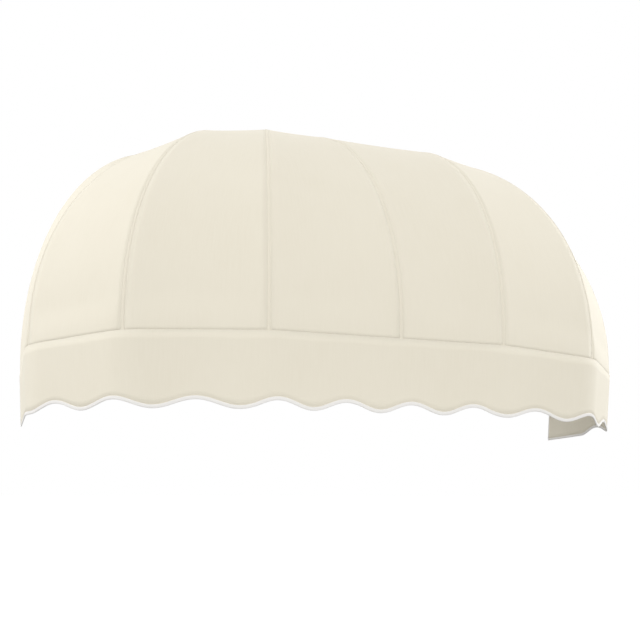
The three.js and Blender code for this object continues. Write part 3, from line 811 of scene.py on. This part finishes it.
def build_screw(node, material):
    """A pan head screw seen from below, with a dished recess."""
    low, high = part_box(node)
    centre = (low + high) / 2
    radius = (high.x - low.x) / 2
    turns = 32

    def at(angle, share, z):
        reach = radius * share
        return Vector((centre.x + reach * math.cos(angle), centre.y + reach * math.sin(angle), z))

    angles = [2 * math.pi * k / turns for k in range(turns)]
    seat = low.z + PAN_HEAD_RISE
    points = [at(angle, share, seat + rise * MM) for angle in angles for share, rise in PAN_HEAD]
    count, shank = len(PAN_HEAD), len(points)
    points += [at(angle, SHANK_SHARE, high.z) for angle in angles]
    faces = []
    for k in range(turns):
        after = (k + 1) % turns
        a, b = k * count, after * count
        faces += [(a + j, a + j + 1, b + j + 1, b + j) for j in range(count - 1)]
        faces.append((a + count - 1, shank + k, shank + after, b + count - 1))
    faces.append(tuple(range(shank, shank + turns)))
    obj = mesh_object(f"{node}_pan_head", points, faces, material)
    face_outwards(obj, weld=True)
    return obj


# ---------- materials ----------


def linear(hex_colour):
    """An sRGB hex colour as linear RGBA."""
    channels = [int(hex_colour[i:i + 2], 16) / 255 for i in (0, 2, 4)]
    return (*[c / 12.92 if c <= 0.04045 else ((c + 0.055) / 1.055) ** 2.4 for c in channels], 1.0)


def add_node(tree, kind, inputs=None, **settings):
    """Adds a node, sets its properties, and fills or links its inputs."""
    node = tree.nodes.new(kind)
    for key, value in settings.items():
        setattr(node, key, value)
    for key, value in (inputs or {}).items():
        if isinstance(value, bpy.types.NodeSocket):
            tree.links.new(value, node.inputs[key])
        else:
            node.inputs[key].default_value = value
    return node


def new_material(name):
    material = bpy.data.materials.new(name)
    material.use_nodes = True
    material.node_tree.nodes.clear()
    return material, material.node_tree


def output(tree, shader):
    add_node(tree, "ShaderNodeOutputMaterial", {"Surface": shader.outputs[0]})


def band_scale(spacing):
    """Wave texture scale whose bands are spacing apart."""
    return 2 * math.pi / (20 * spacing)


def canvas_tone(tree, factor):
    """The canvas colour, from its plain yarns at factor 0 to its slubs at 1."""
    colours = bpy.context.scene.awning_colours
    return add_node(tree, "ShaderNodeMix", {
        "Factor": factor, "A": linear(colours.canvas), "B": linear(colours.canvas_slub)},
        data_type="RGBA").outputs["Result"]


def canvas_shader(tree, colour, bump):
    """Acrylic canvas: nearly all diffuse, with a trace of fibre sheen."""
    return add_node(tree, "ShaderNodeBsdfPrincipled", {
        "Base Color": colour, "Roughness": 0.88, "IOR": 1.49, "Specular IOR Level": 0.25,
        "Sheen Weight": 0.12, "Sheen Roughness": 0.5, "Normal": bump.outputs[0]})


def woven_acrylic_canvas():
    """Solution dyed acrylic canvas, plain woven: matte ivory with a faint grain of slubs along the yarns."""
    material, tree = new_material("acrylic_canvas_woven")
    cloth = add_node(tree, "ShaderNodeUVMap", uv_map="cloth").outputs["UV"]
    # yarns lie 0.5 mm apart, drawn at 1.5 mm so that they show
    spacing = 1.5 * MM
    weft, warp = [
        add_node(tree, "ShaderNodeTexWave", {"Vector": cloth, "Scale": band_scale(spacing)},
                 wave_type="BANDS", bands_direction=axis).outputs["Fac"]
        for axis in "XY"
    ]
    weave = add_node(tree, "ShaderNodeMath", {0: weft, 1: warp}, operation="MULTIPLY").outputs[0]
    # slubs are about 5 mm by 80 mm, and the cloudy tone changes over about 200 mm
    stretched = add_node(tree, "ShaderNodeMapping", {"Vector": cloth, "Scale": (1.0, 0.06, 1.0)}).outputs[0]
    slub = add_node(tree, "ShaderNodeTexNoise", {
        "Vector": stretched, "Scale": 220.0, "Detail": 2.0}).outputs["Fac"]
    cloud = add_node(tree, "ShaderNodeTexNoise", {
        "Vector": cloth, "Scale": 5.0, "Detail": 3.0}).outputs["Fac"]
    mixed = add_node(tree, "ShaderNodeMath", {0: slub, 1: cloud}, operation="MULTIPLY").outputs[0]
    colour = canvas_tone(tree, mixed)
    bump = add_node(tree, "ShaderNodeBump", {"Height": weave, "Strength": 0.35, "Distance": 0.12 * MM})
    cloud_bump = add_node(tree, "ShaderNodeBump", {
        "Height": cloud, "Strength": 0.25, "Distance": 1.2 * MM, "Normal": bump.outputs[0]})
    output(tree, canvas_shader(tree, colour, cloud_bump))
    return material


def woven_strip_canvas():
    """The same canvas where it is cut into narrow strips: seams, hem and welt, matte ivory."""
    material, tree = new_material("acrylic_canvas_folded")
    place = add_node(tree, "ShaderNodeTexCoord").outputs["Object"]
    grain = add_node(tree, "ShaderNodeTexNoise", {
        "Vector": place, "Scale": 600.0, "Detail": 2.0}).outputs["Fac"]
    colour = canvas_tone(tree, grain)
    bump = add_node(tree, "ShaderNodeBump", {"Height": grain, "Strength": 0.3, "Distance": 0.15 * MM})
    output(tree, canvas_shader(tree, colour, bump))
    return material


def braided_tape():
    """Woven acrylic braid: soft white, with fine ribs that take the shine off."""
    colours = bpy.context.scene.awning_colours
    material, tree = new_material("acrylic_braid_tape")
    place = add_node(tree, "ShaderNodeTexCoord").outputs["Object"]
    # braid ribs are about 1 mm apart
    ribs = add_node(tree, "ShaderNodeTexWave", {
        "Vector": place, "Scale": band_scale(1.0 * MM), "Distortion": 1.0}, wave_type="BANDS",
        bands_direction="DIAGONAL").outputs["Fac"]
    bump = add_node(tree, "ShaderNodeBump", {"Height": ribs, "Strength": 0.3, "Distance": 0.15 * MM})
    shader = add_node(tree, "ShaderNodeBsdfPrincipled", {
        "Base Color": linear(colours.binding), "Roughness": 0.8, "IOR": 1.49,
        "Sheen Weight": 0.2, "Sheen Roughness": 0.4, "Normal": bump.outputs[0]})
    output(tree, shader)
    return material


def spun_thread():
    """Bonded polyester thread: pale, with the low gloss of a twisted filament."""
    colours = bpy.context.scene.awning_colours
    material, tree = new_material("polyester_thread_bonded")
    place = add_node(tree, "ShaderNodeTexCoord").outputs["Object"]
    twist = add_node(tree, "ShaderNodeTexNoise", {"Vector": place, "Scale": 900.0}).outputs["Fac"]
    bump = add_node(tree, "ShaderNodeBump", {"Height": twist, "Strength": 0.2, "Distance": 0.1 * MM})
    shader = add_node(tree, "ShaderNodeBsdfPrincipled", {
        "Base Color": linear(colours.thread), "Roughness": 0.5, "IOR": 1.55, "Normal": bump.outputs[0]})
    output(tree, shader)
    return material


def extruded_aluminium():
    """Mill finish extruded aluminium: bright grey, with die lines and a cloudy oxide."""
    colours = bpy.context.scene.awning_colours
    material, tree = new_material("aluminium_extruded_mill")
    place = add_node(tree, "ShaderNodeTexCoord").outputs["Object"]
    cloud = add_node(tree, "ShaderNodeTexNoise", {
        "Vector": place, "Scale": 18.0, "Detail": 5.0}).outputs["Fac"]
    grain = add_node(tree, "ShaderNodeTexNoise", {
        "Vector": place, "Scale": 700.0, "Detail": 2.0}).outputs["Fac"]
    rough = add_node(tree, "ShaderNodeMapRange", {
        "Value": cloud, "To Min": 0.34, "To Max": 0.5}).outputs[0]
    bump = add_node(tree, "ShaderNodeBump", {"Height": grain, "Strength": 0.15, "Distance": 0.1 * MM})
    shader = add_node(tree, "ShaderNodeBsdfPrincipled", {
        "Base Color": linear(colours.aluminium), "Metallic": 1.0, "Roughness": rough,
        "Normal": bump.outputs[0]})
    output(tree, shader)
    return material


def zinc_plated_steel():
    """Bright zinc on pressed steel: bluish grey, slightly patchy."""
    colours = bpy.context.scene.awning_colours
    material, tree = new_material("steel_zinc_plated")
    place = add_node(tree, "ShaderNodeTexCoord").outputs["Object"]
    patch = add_node(tree, "ShaderNodeTexVoronoi", {"Vector": place, "Scale": 160.0}).outputs["Distance"]
    rough = add_node(tree, "ShaderNodeMapRange", {
        "Value": patch, "To Min": 0.28, "To Max": 0.42}).outputs[0]
    bump = add_node(tree, "ShaderNodeBump", {"Height": patch, "Strength": 0.1, "Distance": 0.1 * MM})
    shader = add_node(tree, "ShaderNodeBsdfPrincipled", {
        "Base Color": linear(colours.zinc), "Metallic": 1.0, "Roughness": rough,
        "Normal": bump.outputs[0]})
    output(tree, shader)
    return material


MAKERS = {
    "canvas": woven_acrylic_canvas,
    "strip": woven_strip_canvas,
    "braid": braided_tape,
    "thread": spun_thread,
    "aluminium": extruded_aluminium,
    "zinc": zinc_plated_steel,
}
_materials = {}


def finish_of(name):
    """The named material, made the first time it is asked for."""
    if name not in _materials:
        _materials[name] = MAKERS[name]()
    return _materials[name]


# ---------- operators ----------


class AWNING_OT_cover(bpy.types.Operator):
    """Sew the cover: eight gores, their felled seams, wall hem and stitching"""

    bl_idname = "awning.cover"
    bl_label = "Cover"

    def execute(self, context):
        cloth = context.scene.awning_cloth
        rows = [seam_row(n, side * 0.34 * cloth.seam_width) for n in range(1, len(GORES)) for side in (-1, 1)]
        rows += [edge_row(d, 0.0) for d in (7 * MM, cloth.hem_width - 6 * MM)]
        stitches = finish_piece(stitch_rows("cover_stitches", rows, finish_of("thread")), "canvas")
        hem = finish_piece(build_wall_hem(finish_of("strip")), "canvas")
        for n, node in enumerate(GORES):
            gore = build_gore(n, finish_of("canvas"))
            thicken(gore, cloth.thickness)
            finish_piece(gore, "canvas", node)
            trims = [hem, stitches]
            if n + 1 < len(GORES):
                trims = [finish_piece(build_seam(n + 1, finish_of("strip")), "canvas")]
        return {"FINISHED"}


class AWNING_OT_valance(bpy.types.Operator):
    """Hang the scalloped valance with its welt, binding tape and stitching"""

    bl_idname = "awning.valance"
    bl_label = "Valance"

    def execute(self, context):
        cloth = context.scene.awning_cloth
        valance = build_valance(finish_of("canvas"))
        thicken(valance, cloth.thickness, offset=1.0)
        finish_piece(valance, "canvas", "valance")
        welt = finish_piece(build_welt(finish_of("strip")), "canvas")
        tape = finish_piece(build_binding(finish_of("braid")), "binding", "valance_binding")
        rows = binding_stitches() + valance_stitches()
        stitches = finish_piece(stitch_rows("valance_stitches", rows, finish_of("thread")), "binding")
        return {"FINISHED"}


class AWNING_OT_tubes(bpy.types.Operator):
    """Bend the frame tubes: head rail, wall hoops, ribs and front bar"""

    bl_idname = "awning.tubes"
    bl_label = "Frame tubes"

    def execute(self, context):
        build_frame_tubes(finish_of("aluminium"))
        return {"FINISHED"}


class AWNING_OT_fittings(bpy.types.Operator):
    """Make the hubs, plugs, straps, tabs, plates, splices and screws"""

    bl_idname = "awning.fittings"
    bl_label = "Fittings"

    def execute(self, context):
        for node in EASED:
            finish_piece(build_fitting(node, finish_of("zinc")), "hardware", node)
        for node in SCREWS:
            finish_piece(build_screw(node, finish_of("zinc")), "hardware", node)
        return {"FINISHED"}


def area_light(name, place, target, size, power):
    """A rectangular soft light at place that shines at target."""
    light = bpy.data.lights.new(name, "AREA")
    light.shape = "RECTANGLE"
    light.size, light.size_y = size
    light.energy = power
    obj = bpy.data.objects.new(name, light)
    obj.location = place
    obj.rotation_euler = (Vector(target) - Vector(place)).to_track_quat("-Z", "Y").to_euler()
    bpy.context.collection.objects.link(obj)


def white_world():
    """White all round: bright to the eye, softer as a light."""
    world = bpy.data.worlds.new("white_studio")
    world.use_nodes = True
    tree = world.node_tree
    tree.nodes.clear()
    seen = add_node(tree, "ShaderNodeLightPath").outputs["Is Camera Ray"]
    strength = add_node(tree, "ShaderNodeMapRange", {"Value": seen, "To Min": 0.79, "To Max": 1.0}).outputs[0]
    shader = add_node(tree, "ShaderNodeBackground", {"Color": (1, 1, 1, 1), "Strength": strength})
    add_node(tree, "ShaderNodeOutputWorld", {"Surface": shader.outputs[0]})
    bpy.context.scene.world = world


FLOOR_HALF = 30.0

# name, place from the middle of the awning, width and height in metres, power in watts
STUDIO_LIGHTS = (
    ("left_light", (-5.0, 0.9, 1.6), (3.0, 3.0), 125),
    ("right_light", (5.0, 0.9, 1.6), (3.0, 3.0), 165),
    ("top_light", (0, -1.4, 4.5), (4.0, 3.0), 20),
    ("front_light", (-0.3, -4.6, -0.9), (4.0, 2.0), 84),
)


class AWNING_OT_stage(bpy.types.Operator):
    """Set the pale floor, the soft lights and the camera"""

    bl_idname = "awning.stage"
    bl_label = "Stage"

    def execute(self, context):
        stage = context.scene.awning_stage
        white_world()
        floor_z = BAR_LINE - stage.floor_drop
        signs = ((-1, -1), (1, -1), (1, 1), (-1, 1))
        corners = [Vector((x * FLOOR_HALF, y * FLOOR_HALF, floor_z)) for x, y in signs]
        material, tree = new_material("white_paint_floor")
        # the floor looks white, but throws less light up under the valance than a white floor would
        seen = add_node(tree, "ShaderNodeLightPath").outputs["Is Camera Ray"]
        tone = add_node(tree, "ShaderNodeMix", {
            "Factor": seen, "A": linear("8c8b88"), "B": linear("fbfbfa")}, data_type="RGBA").outputs["Result"]
        glow = add_node(tree, "ShaderNodeMath", {0: seen, 1: 0.35}, operation="MULTIPLY").outputs[0]
        output(tree, add_node(tree, "ShaderNodeBsdfPrincipled", {
            "Base Color": tone, "Roughness": 0.9, "Emission Color": (1, 1, 1, 1), "Emission Strength": glow}))
        mesh_object("floor", corners, [(0, 1, 2, 3)], material)
        middle = Vector((0, -DEPTH / 2, BAR_LINE + DOME_HEIGHT / 3))
        for name, offset, size, power in STUDIO_LIGHTS:
            area_light(name, middle + Vector(offset), middle, size, power)

        camera = bpy.data.cameras.new("camera")
        camera.lens = stage.lens
        camera.sensor_width = 36
        camera.shift_x, camera.shift_y = stage.shift
        obj = bpy.data.objects.new("camera", camera)
        bpy.context.collection.objects.link(obj)
        yaw, pitch, roll = stage.yaw, stage.pitch, stage.roll
        right = Vector((math.cos(yaw), -math.sin(yaw), 0))
        ahead = Vector((math.sin(yaw) * math.cos(pitch), math.cos(yaw) * math.cos(pitch), math.sin(pitch)))
        up = right.cross(ahead)
        across = right * math.cos(roll) + up * math.sin(roll)
        above = up * math.cos(roll) - right * math.sin(roll)
        place = Vector(stage.place) + Vector((0, 0, BAR_LINE))
        obj.matrix_world = Matrix((across, above, -ahead)).transposed().to_4x4()
        obj.matrix_world.translation = place
        context.scene.camera = obj
        context.scene.view_settings.view_transform = "Standard"
        context.scene.view_settings.look = "None"
        return {"FINISHED"}


OPERATORS = (AWNING_OT_stage, AWNING_OT_tubes, AWNING_OT_fittings, AWNING_OT_cover, AWNING_OT_valance)


class AWNING_PT_panel(bpy.types.Panel):
    """Builds the awning piece by piece"""

    bl_label = "Dome window awning"
    bl_space_type = "VIEW_3D"
    bl_region_type = "UI"
    bl_category = PANEL_TAB

    def draw(self, context):
        for group in (context.scene.awning_cloth, context.scene.awning_colours, context.scene.awning_stage):
            box = self.layout.box()
            for name in group.bl_rna.properties.keys():
                if name not in ("rna_type", "name"):
                    box.prop(group, name)
        for operator in OPERATORS:
            self.layout.operator(operator.bl_idname)


GROUPS = {
    "awning_cloth": AwningClothSizes,
    "awning_colours": AwningColours,
    "awning_stage": AwningStageSizes,
}


def register():
    for cls in (*GROUPS.values(), *OPERATORS, AWNING_PT_panel):
        bpy.utils.register_class(cls)
    for name, group in GROUPS.items():
        setattr(bpy.types.Scene, name, bpy.props.PointerProperty(type=group))


def unregister():
    for name in GROUPS:
        delattr(bpy.types.Scene, name)
    for cls in reversed((*GROUPS.values(), *OPERATORS, AWNING_PT_panel)):
        bpy.utils.unregister_class(cls)


def main():
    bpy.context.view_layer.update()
    register()
    bpy.ops.awning.stage()
    bpy.ops.awning.tubes()
    bpy.ops.awning.fittings()
    bpy.ops.awning.cover()
    bpy.ops.awning.valance()


if __name__ == "__main__":
    main()
